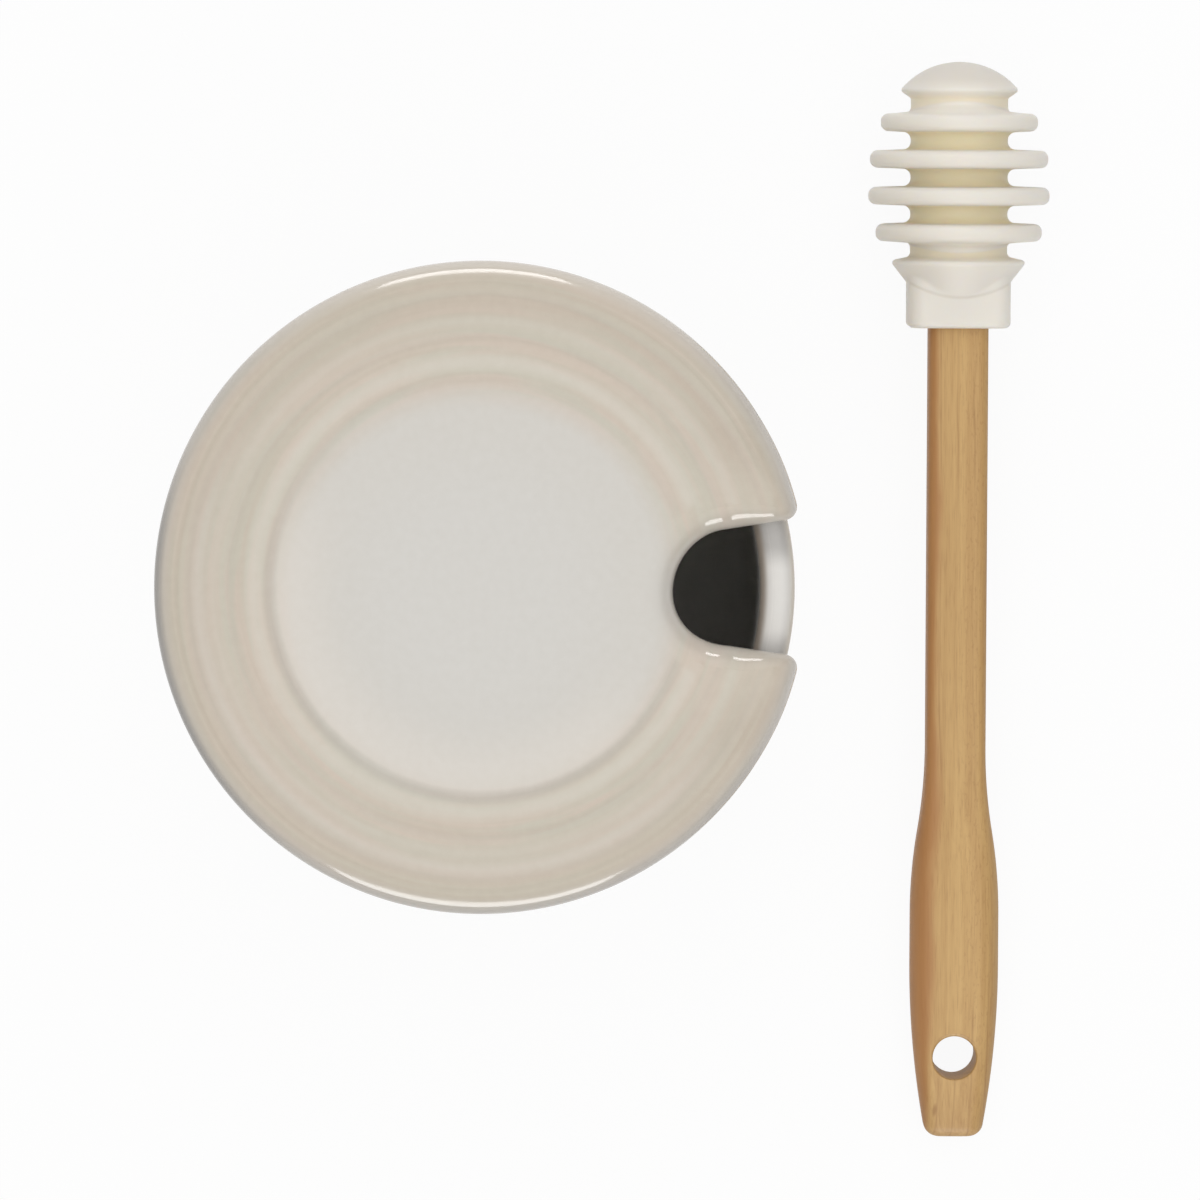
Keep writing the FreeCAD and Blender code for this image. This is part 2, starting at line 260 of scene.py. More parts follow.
lid = {
    "seat": 86.0, "radius": 49.0, "height": 11.0, "flatRadius": 27.0,
    "grooves": (31.3, 37.5, 43.7), "grooveDepth": 0.25, "bulge": 0.25, "ringEase": 0.05,
    "lines": (0.06, 0.05, 0.02), "lineWidth": 0.9, "ringFade": (4.0, 5.6), "outerRings": (33, 36),
    "edgeHeight": 5.5, "edgeWall": 3.46, "edgeRounding": 3.6, "edgeEase": 0.06, "edgeLip": 2.0, "heel": 1.5,
    "notchCentre": 37.45, "notchRadius": 8.7, "notchFlare": 8.5, "notchHeel": 0.8, "horn": 2.2,
    "lip": 3.4, "lipRun": 6.0, "lipFade": 9.0, "worn": (46, 48.5),
    "level": 0.6, "levelReach": (3.0, 17.0), "lean": 0.66, "leanFrom": 37.6, "leanReach": (10, 18),
    "humps": ((37.0, 1.85), (42.3, 3.0)), "dip": 0.3, "dipReach": (2.5, 5.0),
    "hollow": 5.0, "hollowRadius": 36.7, "hollowSlope": (-3.0, 0.6),
    "flangeOutside": 41.2, "flangeDepth": 7.0, "flangeRounding": 1.5, "flangeGap": 17.0, "flangeSink": 0.6,
    "innerRadius": 22.0, "innerTurns": (27, 45, 50, 100), "spokes": 600, "flangeSteps": 160,
}


def notchDistance(x, y):
    # from a point of the plan to the notch's wall
    flare = math.radians(lid["notchFlare"])
    x, y = x - lid["notchCentre"], abs(y)
    if x * math.cos(flare) + y * math.sin(flare) < 0:
        return math.hypot(x, y) - lid["notchRadius"]
    return y * math.cos(flare) - x * math.sin(flare) - lid["notchRadius"]


def lidDome(radius):
    run, fall = lid["radius"] - lid["flatRadius"], lid["height"] - lid["edgeHeight"]
    arc = (run ** 2 + fall ** 2) / (2 * fall)
    return lid["height"] - arc + math.sqrt(arc ** 2 - max(radius - lid["flatRadius"], 0) ** 2)


def ringShare(x, y):
    # the inner groove dies out well before the notch, the outer ones run up to its lip
    outer = smoothStep(*lid["outerRings"], math.hypot(x, y))
    return max(outer, smoothStep(*lid["ringFade"], notchDistance(x, y)))


def lidTop(x, y):
    radius = math.hypot(x, y)
    dome = lidDome(radius)
    grooves = [(at, lidDome(at) - lid["grooveDepth"]) for at in lid["grooves"]]
    roll = max(radius - lid["flatRadius"], 0) / (grooves[0][0] - lid["flatRadius"])
    ringed = lid["height"] - (lid["height"] - grooves[0][1]) * roll ** 2
    stops = grooves + [(lid["radius"], lid["edgeHeight"])]
    for start, end in zip(stops, stops[1:]):
        ringed = softMax(ringed, band(radius, start, end, lid["bulge"]), lid["ringEase"])
    for at, depth in zip(lid["grooves"], lid["lines"]):
        ringed -= depth * math.exp(-((radius - at) / lid["lineWidth"]) ** 2)
    # on the notch's lip the rings turn into two low humps
    near, far = lid["dipReach"]
    onLip = smoothStep(far, near, notchDistance(x, y))
    hump = max(1 - ((radius - middle) / half) ** 2 for middle, half in lid["humps"])
    height = dome + (ringed - dome) * ringShare(x, y) * (1 - onLip)
    height -= lid["dip"] * min(1 - hump, 1) * onLip
    shoulder = lid["radius"] - lid["edgeRounding"]
    if radius > shoulder:
        drop = lid["edgeRounding"] ** 2 - (radius - shoulder) ** 2
        height = -softMax(-height, -lid["edgeWall"] - math.sqrt(max(drop, 0)), lid["edgeEase"])
    # the shoulder flattens out towards the notch, so that its lip runs nearly level
    out = min(max(radius, lid["flatRadius"]), shoulder)
    raised = lidDome(out + (lid["flatRadius"] - out) * lid["level"]) - lidDome(out)
    near, far = lid["levelReach"]
    return height + raised * smoothStep(far, near, notchDistance(x, y))


def lidUnder(x, y):
    foot, crest = [lid["hollowRadius"] + step for step in lid["hollowSlope"]]
    return lid["hollow"] * smoothStep(crest, foot, math.hypot(x, y))


def lidSpokes():
    # points round the plan outline, from the back, past the notch, to the back again
    flare = math.radians(lid["notchFlare"])
    along = Vector((math.cos(flare), math.sin(flare)))
    away = Vector((-math.sin(flare), math.cos(flare)))
    centre = Vector((lid["notchCentre"], 0))
    sideStart = centre + away * lid["notchRadius"]
    # the horn is a small circle that touches the notch's side and the lid's rim
    offset = sideStart + away * lid["horn"]
    half = offset.dot(along)
    side = -half + math.sqrt(half ** 2 - offset.length_squared + (lid["radius"] - lid["horn"]) ** 2)
    horn = offset + along * side
    hornAngle = math.atan2(horn.y, horn.x)
    ends = [lid["notchRadius"] * (math.pi / 2 - flare)]
    ends.append(ends[0] + side)
    ends.append(ends[1] + lid["horn"] * (hornAngle + math.pi / 2 - flare))
    ends.append(ends[2] + lid["radius"] * (math.pi - hornAngle))
    # the spokes' inner ends spread out past the notch, and point straight outwards from there on
    regular = ends[2] + lid["radius"] * (math.radians(lid["innerTurns"][3]) - hornAngle)
    turns = [(0, 0), *zip((*ends[:3], regular), lid["innerTurns"]), (ends[3], 180)]
    lips = [(0, lid["lip"]), (ends[1] - lid["lipRun"], lid["lip"])]
    lips += [(ends[1], lid["edgeLip"]), (ends[3], lid["edgeLip"])]
    spokes = []
    for column in range(lid["spokes"] + 1):
        travel = ends[3] * (2 * column / lid["spokes"] - 1)
        gone = abs(travel)
        if gone < ends[0]:
            inward = Vector((-math.cos(gone / lid["notchRadius"]), math.sin(gone / lid["notchRadius"])))
            rim = centre + inward * lid["notchRadius"]
        elif gone < ends[1]:
            inward = away.copy()
            rim = sideStart + along * (gone - ends[0])
        elif gone < ends[2]:
            angle = flare - math.pi / 2 + (gone - ends[1]) / lid["horn"]
            inward = -Vector((math.cos(angle), math.sin(angle)))
            rim = horn - inward * lid["horn"]
        else:
            angle = hornAngle + (gone - ends[2]) / lid["radius"]
            inward = -Vector((math.cos(angle), math.sin(angle)))
            rim = -inward * lid["radius"]
        turn = math.radians(between(gone, turns))
        inner = Vector((math.cos(turn), math.sin(turn))) * lid["innerRadius"]
        flip = Vector((1, -1)) if travel < 0 else Vector((1, 1))
        spokes.append({
            "rim": rim * flip, "inward": inward * flip, "inner": inner * flip,
            "lip": between(gone, lips), "share": 1 - smoothStep(ends[2], ends[2] + lid["lipFade"], gone),
        })
    return spokes


def makeLid():
    stations = [("flat", i / 6) for i in range(6)]
    stations += [("top", i / 72) for i in range(72)]
    stations += [("lip", i / 10) for i in range(11)]
    stations += [("wall", i / 4) for i in range(1, 4)]
    stations += [("heel", i / 6) for i in range(7)]
    stations += [("under", i / 26) for i in range(1, 27)]
    stations += [("hollow", i / 5) for i in range(1, 6)]
    spokes = lidSpokes()
    for spoke in spokes:
        spoke["lipStart"] = spoke["rim"] + spoke["inward"] * spoke["lip"]
        spoke["heel"] = lid["notchHeel"] + (lid["heel"] - lid["notchHeel"]) * (1 - spoke["share"])
        spoke["wallTop"] = lidTop(*spoke["rim"]) - spoke["lip"] * spoke["share"]
        spoke["wallEnd"] = lidUnder(*spoke["rim"]) + spoke["heel"]

    def place(column, row):
        spoke = spokes[column]
        zone, share = stations[row]
        worn = 1.0
        rings = 0.0
        if zone in ("flat", "top"):
            plan = spoke["inner"] * share if zone == "flat" else spoke["inner"].lerp(spoke["lipStart"], share)
            height = lidTop(*plan)
            worn = smoothStep(*lid["worn"], plan.length)
            rings = ringShare(*plan)
        elif zone == "lip":
            angle = share * math.pi / 2
            plan = spoke["rim"] + spoke["inward"] * spoke["lip"] * (1 - math.sin(angle))
            height = lidTop(*plan) - spoke["lip"] * spoke["share"] * (1 - math.cos(angle))
            worn = max(smoothStep(*lid["worn"], plan.length), share * spoke["share"])
        elif zone == "wall":
            plan = spoke["rim"]
            height = spoke["wallTop"] + (spoke["wallEnd"] - spoke["wallTop"]) * share
        elif zone == "heel":
            angle = share * math.pi / 2
            plan = spoke["rim"] + spoke["inward"] * spoke["heel"] * (1 - math.cos(angle))
            height = spoke["wallEnd"] - spoke["heel"] * math.sin(angle)
        else:
            start = spoke["rim"] + spoke["inward"] * spoke["heel"]
            plan = start.lerp(spoke["inner"], share) if zone == "under" else spoke["inner"] * (1 - share)
            height = lidUnder(*plan)
            worn = 0.0
        # the notch is not quite even, its round end leans to the near side
        inwards = lid["leanFrom"] - plan.x
        near, far = lid["leanReach"]
        lean = lid["lean"] * min(max(inwards / lid["notchRadius"], 0), 1.2) ** 2
        lean *= smoothStep(far, near, math.hypot(inwards, plan.y))
        return Vector((plan.x, plan.y - lean, lid["seat"] + height)), worn, rings

    piece = wrapGrid("lidPlate", lid["spokes"], len(stations) - 1, place, ("worn", "rings"))
    # locating flange underneath, open at the notch
    top, low = lid["seat"] + lid["flangeSink"], lid["seat"] - lid["flangeDepth"]
    flange = drawProfile("lidFlange", [
        (lid["hollowRadius"], top),
        (lid["hollowRadius"], low, lid["flangeRounding"]),
        (lid["flangeOutside"], low, lid["flangeRounding"]),
        (lid["flangeOutside"], top),
        (lid["hollowRadius"], top),
    ])
    spinProfile(lid["flangeSteps"], math.radians(360 - 2 * lid["flangeGap"]))
    bpy.ops.mesh.fill_holes(sides=0)
    closeMesh()
    flange.rotation_euler.z = -math.radians(lid["flangeGap"])
    bpy.ops.object.transform_apply(location=False, rotation=True, scale=False)
    pickPieces(flange, piece)
    bpy.ops.object.join()
    smoothShade(piece, 50)
    return piece


# dipper, standing on its grip end until it is laid down

dipper = {
    "pitch": math.radians(3.882), "aside": math.radians(0.2), "end": (0.07497, -0.0887, 0.004235),
    "length": 173.5, "rounds": 160,
}
dipper["turn"] = (dipper["pitch"] - math.pi / 2, 0, -dipper["aside"])

head = {
    "core": 7.8, "domeRadius": 9.55, "domeRim": 168.9, "domeRoot": 167.65, "domeEdge": 0.5, "domeFillet": 0.4,
    "discs": ((12.6, 163.805), (14.3, 157.925), (14.54, 152.045), (13.34, 146.165)),
    "discHalf": (1.36, 1.6), "discEdge": 1.2, "root": 1.22, "endRoot": 0.85,
    "climb": (1.05, 0.5), "climbReach": (8.5, 11.5), "climbBand": 1.0,
    "collarTop": 142.32, "collarLip": (11.05, 141.62), "collarEdge": 0.6,
    "coneSlope": math.tan(math.radians(38)), "coneStart": 0.8, "coneRings": 72,
    "ferrule": (8.23, 6.65, 3.0), "blend": 0.15, "mouth": 130.92, "mouthEdge": 0.9, "edgeRings": 6,
    "socket": (4.88, 4.4, 1.9), "socketEase": 0.3, "socketMark": 145, "socketEnd": 160.92,
}


def makeHead():
    tip, rim = dipper["length"], head["domeRim"]
    arc = (head["domeRadius"] ** 2 + (tip - rim) ** 2) / (2 * (tip - rim))
    full = math.asin(head["domeRadius"] / arc)
    turns = [full * step / 16 for step in range(16)]
    points = [(arc * math.sin(turn), tip - arc * (1 - math.cos(turn))) for turn in turns]
    points.append((head["domeRadius"], rim, head["domeEdge"]))
    points.append((head["core"], head["domeRoot"], head["domeFillet"]))
    # each disc thickens a little towards the core
    thin, thick = head["discHalf"]
    roots = [head["endRoot"]] + [head["root"]] * 6 + [head["endRoot"]]
    for i, (reach, middle) in enumerate(head["discs"]):
        points += [
            (head["core"], middle + thick, roots[2 * i]),
            (reach, middle + thin, head["discEdge"]),
            (reach, middle - thin, head["discEdge"]),
            (head["core"], middle - thick, roots[2 * i + 1]),
        ]
    lipRadius, lipHeight = head["collarLip"]
    points.append((head["core"], head["collarTop"], head["endRoot"]))
    points.append((lipRadius, lipHeight, head["collarEdge"]))
    points.append((lipRadius - head["coneStart"] * head["coneSlope"], lipHeight - head["coneStart"]))
    piece = drawProfile("dipperHead", points, segments=6)
    spinProfile(dipper["rounds"])
    # the outer flanks of the first and last disc climb the core in the middle, above and below
    first, last = head["discs"][0][1], head["discs"][-1][1]
    near, far = head["climbReach"]
    flank = thick + head["climbBand"]
    mesh = bmesh.from_edit_mesh(piece.data)
    for vertex in mesh.verts:
        x, y, z = vertex.co / mm
        reach = math.hypot(x, y)
        rise = smoothStep(far, near, reach) * (y / max(reach, 1)) ** 2
        if first < z < first + flank:
            vertex.co.z += head["climb"][0] * rise * mm
        elif last - flank < z < last:
            vertex.co.z -= head["climb"][1] * rise * mm
    bmesh.update_edit_mesh(piece.data)

    def skin(height, inset):
        # the cone runs into a flat-sided ferrule, with a narrow hollow where they meet
        cone = lipRadius - (lipHeight - height) * head["coneSlope"]
        width, depth, corner = head["ferrule"]
        return lambda angle: softMax(
            cone, blockRadius(angle, width - inset, depth - inset, corner - inset), head["blend"]
        )

    selectOpenRing()
    mouth, edge = head["mouth"], head["mouthEdge"]
    start, stop = lipHeight - head["coneStart"], mouth + edge
    for step in range(1, head["coneRings"] + 1):
        height = start + (stop - start) * step / head["coneRings"]
        extrudeRing(skin(height, 0), height)
    for step in range(1, head["edgeRings"] + 1):
        angle = step / head["edgeRings"] * math.pi / 2
        extrudeRing(skin(0, edge * (1 - math.cos(angle))), stop - edge * math.sin(angle))
    width, depth, corner = head["socket"]
    ease = head["socketEase"]
    for wider, height in ((ease, mouth), (0, mouth + ease), (0, head["socketMark"]), (0, head["socketEnd"])):
        extrudeRing(lambda angle: blockRadius(angle, width + wider, depth + wider, corner + wider), height)
    bpy.ops.mesh.merge(type="CENTER")
    closeMesh()
    layDown(piece)
    smoothShade(piece, 50)
    return piece


handle = {
    "neck": (4.78, 4.3, 1.8), "grip": (7.1, 5.5, 4.0), "end": (4.4, 4.1, 2.6),
    "endRounding": 1.8, "crown": 0.25, "crownStart": 0.6, "crownRings": (0.4, 0.6, 0.8, 0.93),
    "taper": 28.0, "gripTop": 36.2, "shoulder": 63.3, "neckTop": 160.42,
    "gripRings": 76, "neckRings": 40, "capRings": (0.7, 0.35), "rounds": 160,
    "holeRadius": 3.5, "holeHeight": 13.3, "holeEase": 0.6, "holeOver": 2.0, "holeRounds": 64,
}


def handleSize(height):
    # half width, half thickness and corner of the section at a height
    flare, taper = 1.0, max(1 - height / handle["taper"], 0) ** 2
    if height > handle["gripTop"]:
        share = min((height - handle["gripTop"]) / (handle["shoulder"] - handle["gripTop"]), 1)
        flare = 1 - 2 * share ** 2 if share < 0.5 else 2 * (1 - share) ** 2
    sizes = zip(handle["neck"], handle["grip"], handle["end"])
    return [neck + (full - neck) * flare - (full - end) * taper for neck, full, end in sizes]


def makeHandle():
    clearSelection()
    start = handle["crownStart"] * mm
    bpy.ops.mesh.primitive_circle_add(vertices=handle["rounds"], radius=start, fill_type="TRIFAN")
    piece = bpy.context.object
    piece.name = "dipperHandle"
    bpy.ops.object.mode_set(mode="EDIT")
    selectOpenRing()

    def section(height, inset=0.0, scale=1.0):
        width, depth, corner = handleSize(height)
        return lambda angle: scale * blockRadius(angle, width - inset, depth - inset, corner - inset)

    rounding, crown = handle["endRounding"], handle["crown"]
    for scale in handle["crownRings"]:
        extrudeRing(section(0, rounding, scale), crown * scale ** 2)
    for step in range(9):
        angle = step * math.pi / 16
        height = crown + rounding * (1 - math.cos(angle))
        extrudeRing(section(height, rounding * (1 - math.sin(angle))), height)
    start, middle, stop = crown + rounding, handle["shoulder"], handle["neckTop"]
    grip, neck = handle["gripRings"], handle["neckRings"]
    heights = [start + (middle - start) * step / grip for step in range(1, grip + 1)]
    heights += [middle + (stop - middle) * step / neck for step in range(1, neck + 1)]
    for height in heights:
        extrudeRing(section(height), height)
    for scale in handle["capRings"]:
        extrudeRing(section(stop, 0, scale), stop)
    bpy.ops.mesh.merge(type="CENTER")
    closeMesh()
    # hanging hole: a spool with flared ends is taken out, so the mouths come out eased
    half, ease = handleSize(handle["holeHeight"])[1], handle["holeEase"]
    wide, over = handle["holeRadius"] + ease, half + handle["holeOver"]
    turns = [step * math.pi / 12 for step in reversed(range(7))]
    flare = [(wide - ease * math.sin(turn), half - ease * (1 - math.cos(turn))) for turn in turns]
    profile = [(0, -over), (wide, -over), (wide, -half)]
    profile += [(x, -z) for x, z in reversed(flare)][1:] + flare[:-1]
    profile += [(wide, half), (wide, over), (0, over)]
    spool = drawProfile("holeSpool", profile)
    spinProfile(handle["holeRounds"])
    closeMesh()
    spool.rotation_euler.x = math.pi / 2
    spool.location.z = handle["holeHeight"] * mm
    bpy.ops.object.transform_apply(location=True, rotation=True, scale=False)
    pickPieces(piece)
    drill = piece.modifiers.new("hangingHole", "BOOLEAN")
    drill.operation = "DIFFERENCE"
    drill.object = spool
    bpy.ops.object.modifier_apply(modifier=drill.name)
    bpy.data.objects.remove(spool)
    layDown(piece)
    smoothShade(piece, 40)
    return piece


# finishes

class Value:
    # one socket, so that shader maths reads as maths
    def __init__(self, finish, socket):
        self.finish, self.socket = finish, socket

    def __add__(self, other):
        return self.finish.maths("ADD", self, other)

    def __radd__(self, other):
        return self.finish.maths("ADD", other, self)

    def __sub__(self, other):
        return self.finish.maths("SUBTRACT", self, other)

    def __rsub__(self, other):
        return self.finish.maths("SUBTRACT", other, self)

    def __mul__(self, other):
        return self.finish.maths("MULTIPLY", self, other)

    def __rmul__(self, other):
        return self.finish.maths("MULTIPLY", other, self)

    def __truediv__(self, other):
        return self.finish.maths("DIVIDE", self, other)

    def __pow__(self, other):
        return self.finish.maths("POWER", self, other)

    def smooth(self, low, high):
        sockets = {"Value": self, "From Min": low, "From Max": high}
        return self.finish.node("MapRange", {"interpolation_type": "SMOOTHSTEP"}, sockets)

    def bump(self, centre, width):
        # 1 at the centre, fading to 0 a width away on both sides
        return self.finish.maths("ABSOLUTE", self - centre).smooth(width, 0)


class Finish:
    # the node tree of a material, or of the world
    def __init__(self, owner):
        self.owner = owner
        owner.use_nodes = True
        self.tree = owner.node_tree

    def feed(self, socket, value):
        if isinstance(value, Value):
            self.tree.links.new(value.socket, socket)
        else:
            socket.default_value = value

    def node(self, kind, settings=None, sockets=None, output=0):
        made = self.tree.nodes.new("ShaderNode" + kind)
        for key, value in (settings or {}).items():
            setattr(made, key, value)
        for key, value in (sockets or {}).items():
            self.feed(made.inputs[key], value)
        return Value(self, made.outputs[output])

    def maths(self, operation, *values):
        return self.node("Math", {"operation": operation}, dict(enumerate(values)))

    def place(self, space="Object"):
        return self.node("TexCoord", output=space)

    def split(self, vector):
        return [self.node("SeparateXYZ", None, {0: vector}, axis) for axis in range(3)]

    def join(self, x, y, z):
        return self.node("CombineXYZ", None, {0: x, 1: y, 2: z})

    def noise(self, vector, scale, detail=2.0, roughness=0.5):
        sockets = {"Vector": vector, "Scale": scale, "Detail": detail, "Roughness": roughness}
        return self.node("TexNoise", None, sockets)

    def blend(self, share, first, second, how="MIX"):
        settings = {"data_type": "RGBA", "blend_type": how, "clamp_factor": True}
        return self.node("Mix", settings, {0: share, 6: first, 7: second}, 2)

    def speckle(self, share, colour, noise):
        # a little lighter and darker, by a noise
        return self.blend(share, colour, self.blend(noise, (0, 0, 0, 1), (1, 1, 1, 1)), "OVERLAY")

    def finishWith(self, **sockets):
        shader = self.tree.nodes["Principled BSDF"]
        for key, value in sockets.items():
            self.feed(shader.inputs[key.replace("_", " ")], value)
        return self.owner

    def bumpFrom(self, height, distance):
        return self.node("Bump", None, {"Strength": 1.0, "Distance": distance, "Height": height})


def tone(red, green, blue):
    # a colour as it reads on screen, made linear
    def linear(level):
        level /= 255
        return level / 12.92 if level <= 0.04045 else ((level + 0.055) / 1.055) ** 2.4
    return (linear(red), linear(green), linear(blue), 1)


glaze = {
    "pale": tone(209, 206, 200), "warm": tone(203, 194, 179), "deep": tone(197, 185, 168),
    "grey": tone(172, 166, 156), "rose": tone(206, 192, 177), "moss": tone(199, 193, 177),
    "crest": tone(210, 203, 190), "lines": (1.5, 1.2, 0.9), "lineShift": 0.1,
    "gleam": tone(224, 216, 206), "edge": tone(201, 196, 189), "shade": tone(150, 146, 141),
    "rim": tone(192, 189, 185), "rimLit": tone(230, 227, 222), "innerShade": tone(150, 132, 112),
    "inside": tone(250, 248, 244), "biscuit": tone(214, 200, 180), "roughness": 0.08,
}


def lidGlaze():
    f = Finish(bpy.data.materials.new("lidGlaze"))
    place = f.place()
    x, y, z = f.split(place)
    radius = (x * x + y * y) ** 0.5 * 1000
    turnX, turnY = x * 1000 / (radius + 0.01), y * 1000 / (radius + 0.01)
    streak = f.noise(f.join(turnX * 1.1, turnY * 1.1, radius * 0.8), 1.0, 3.0)
    tint = f.noise(f.join(turnX * 1.6 + 7, turnY * 1.6, radius * 0.55), 1.0, 2.0)
    broad = f.noise(f.join(turnX * 0.9, turnY * 0.9, radius * 0.25), 1.0, 1.0)
    mottle = f.noise(place, 700.0, 3.0)
    worn, rings = [f.node("Attribute", {"attribute_name": mark}, None, "Fac") for mark in ("worn", "rings")]
    # pale grey in the middle, a painted reflection of the overhead light that reaches further out on the
    # lower side, then the glaze's own warmer colour over the shoulder
    lower = turnX * -0.5 + turnY * -0.85
    warm = (radius - lower * 0.9 + (broad - 0.5) * 2).smooth(26.5, 33)
    colour = f.blend(radius.smooth(10, 28) * 0.18, glaze["pale"], glaze["warm"])
    shoulder = f.blend(tint.smooth(0.35, 0.65), glaze["moss"], glaze["rose"])
    shoulder = f.blend((streak - 0.4).smooth(0, 0.3) * 0.55, shoulder, glaze["deep"])
    shoulder = f.blend(radius.smooth(34, 46) * 0.5, shoulder, glaze["deep"])
    colour = f.blend(warm, colour, shoulder)
    # painted light on the crests of the rings, lighter where they rise into the light
    litCrests = radius.bump(33.7, 2.0) * 0.7 + radius.bump(39.8, 1.5) * 0.35
    colour = f.blend(litCrests * rings, colour, glaze["crest"])
    # painted highlight: a pale band inside the first groove and one over the outer band, on the lower side
    # only
    gleam = radius.smooth(19, 29.5) * radius.smooth(31.5, 30.0) * 0.45 + radius.bump(42.3, 2.0) * 0.4
    colour = f.blend(gleam * lower.smooth(-0.2, 0.5) * rings, colour, glaze["gleam"])
    # grey lines of painted shade in the grooves, strongest at the lower left
    grooves = zip(lid["grooves"], glaze["lines"])
    inner, middle, outer = [radius.bump(at + glaze["lineShift"], width) for at, width in grooves]
    lines = inner * (lower * 0.18 + 0.26) + (middle + outer) * 0.12
    colour = f.blend(lines * rings * (0.5 + streak), colour, glaze["grey"])
    # the worn edge is paler, and along the top side it takes a painted highlight
    colour = f.blend(worn * 0.7, colour, f.blend(turnY.smooth(0.5, 1.0), glaze["edge"], glaze["gleam"]))
    # painted shade on the lid's outer edge, darkest at the left and along the lower side
    left = (turnX * -1).smooth(0.5, 1.0) * turnY.smooth(0.5, 0.1)
    edgeShade = (left * 0.9 + (turnY * -1).smooth(0.2, 0.7) * 0.35) * (z * 1000).smooth(88, 90)
    colour = f.blend(edgeShade * radius.smooth(47.3, 48.7), colour, glaze["shade"])
    colour = f.speckle(0.05, colour, mottle)
    wave = f.noise(place, 160.0, 1.0)
    bump = f.bumpFrom(wave + mottle * 0.08, 0.00002)
    return f.finishWith(Base_Color=colour, Roughness=glaze["roughness"] + mottle * 0.04, Normal=bump, IOR=1.5)


def potGlaze():
    f = Finish(bpy.data.materials.new("potGlaze"))
    place = f.place()
    x, y, z = f.split(place)
    radius = (x * x + y * y) ** 0.5 * 1000
    height = z * 1000
    turnX, turnY = x * 1000 / (radius + 0.01), y * 1000 / (radius + 0.01)
    streak = f.noise(f.join(turnX * 1.3, turnY * 1.3, height * 0.5), 1.0, 3.0)
    mottle = f.noise(place, 700.0, 3.0)
    colour = f.blend((streak - 0.35) * 1.4, glaze["warm"], glaze["deep"])
    within = radius.smooth(44.6, 43.4) * height.smooth(5.0, 6.0)
    colour = f.blend(within, colour, glaze["inside"])
    # the rim is painted as in shade under the lid's lips, and lighter where the notch leaves it open to the
    # light
    side = y * 1000
    rimLit = side.smooth(6.5, 2.5) * side.smooth(-10, -6) * x.smooth(0.03, 0.04)
    colour = f.blend(height.smooth(84.4, 85.8), colour, f.blend(rimLit, glaze["rim"], glaze["rimLit"]))
    # painted shade, a darker brown, on the inner edge where the rim turns down into the pot
    colour = f.blend(radius.smooth(43.4, 42.4) * height.smooth(81.5, 84) * 0.75, colour, glaze["innerShade"])
    colour = f.speckle(0.06, colour, mottle)
    bare = (height + (mottle - 0.5) * 0.5).smooth(0.75, 0.45)
    grit = f.noise(place, 2600.0, 4.0)
    colour = f.blend(bare, colour, f.blend(grit, glaze["deep"], glaze["biscuit"]))
    wave = f.noise(place, 160.0, 1.0)
    bump = f.bumpFrom(wave + mottle * 0.08 + bare * grit * 0.6, 0.00002)
    roughness = glaze["roughness"] + mottle * 0.04 + bare * 0.7 + within * 0.35
    return f.finishWith(Base_Color=colour, Roughness=roughness, Normal=bump, IOR=1.5)


silicone = {
    "skin": tone(233, 228, 219), "slot": tone(254, 242, 208), "flank": tone(252, 248, 240),
    "tip": tone(212, 204, 192), "crease": tone(196, 186, 168), "creaseHeight": 135.9, "creaseSag": 0.035,
    "roughness": 0.42, "glow": 0.4, "glowRadius": (1.0, 0.8, 0.5), "glowDepth": 0.003,
}


def dipperPlace(f):
    # as the dipper stood before it was laid down
    sockets = {"Vector": f.place(), "Location": dipper["end"], "Rotation": dipper["turn"]}
    return f.node("Mapping", {"vector_type": "TEXTURE"}, sockets)


